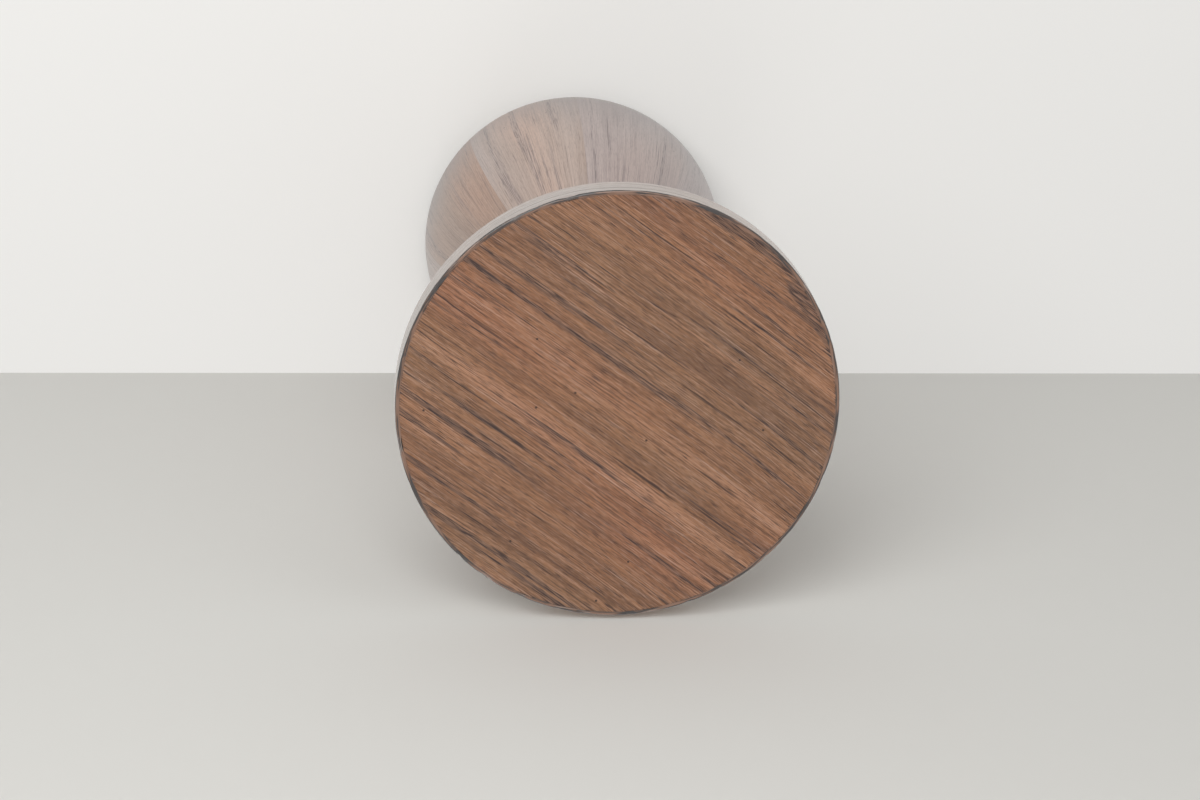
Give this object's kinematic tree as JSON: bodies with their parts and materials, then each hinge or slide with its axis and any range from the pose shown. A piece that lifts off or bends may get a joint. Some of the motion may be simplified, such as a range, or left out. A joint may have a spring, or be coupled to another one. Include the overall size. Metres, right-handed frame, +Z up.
{
  "type": "side table",
  "caption": "Small round side table: a flat brown veneered top with a pale limed rim and a dark eased edge, on a hollow, pale limed, bell-shaped wooden pedestal drawn together by a central rod.",
  "frame": {"origin": "on the floor, under the middle of the base", "axes": "+Z up along the pedestal's axis; +X and +Y are level, and the first stave starts at +X"},
  "size_m": [0.305, 0.305, 0.457],
  "materials": {
    "face_veneer": "satin brown open-grain veneer",
    "edge_band": "satin limed solid wood with dark rubbed edges",
    "stave_wood": "satin limed turned wood",
    "core_board": "raw fibreboard",
    "inner_wood": "raw wood",
    "zinc_steel": "zinc plated",
    "nylon": "moulded, matt"
  },
  "bodies": {
    "root": {"top_core": "core_board", "top_face_veneer": "face_veneer", "top_back_veneer": "face_veneer", "top_edge_band": "edge_band", "pedestal_stave_1": "stave_wood", "pedestal_stave_2": "stave_wood", "pedestal_stave_3": "stave_wood", "pedestal_stave_4": "stave_wood", "pedestal_stave_5": "stave_wood", "pedestal_stave_6": "stave_wood", "pedestal_stave_7": "stave_wood", "pedestal_stave_8": "stave_wood", "neck_plug": "inner_wood", "base_board": "inner_wood", "top_flange": "zinc_steel", "flange_nut": "zinc_steel", "flange_screws": "zinc_steel", "tie_rod": "zinc_steel", "rod_washer": "zinc_steel", "rod_nut": "zinc_steel", "locating_dowels": "inner_wood", "floor_glides": "nylon", "glide_nails": "zinc_steel"}
  },
  "joints": []
}
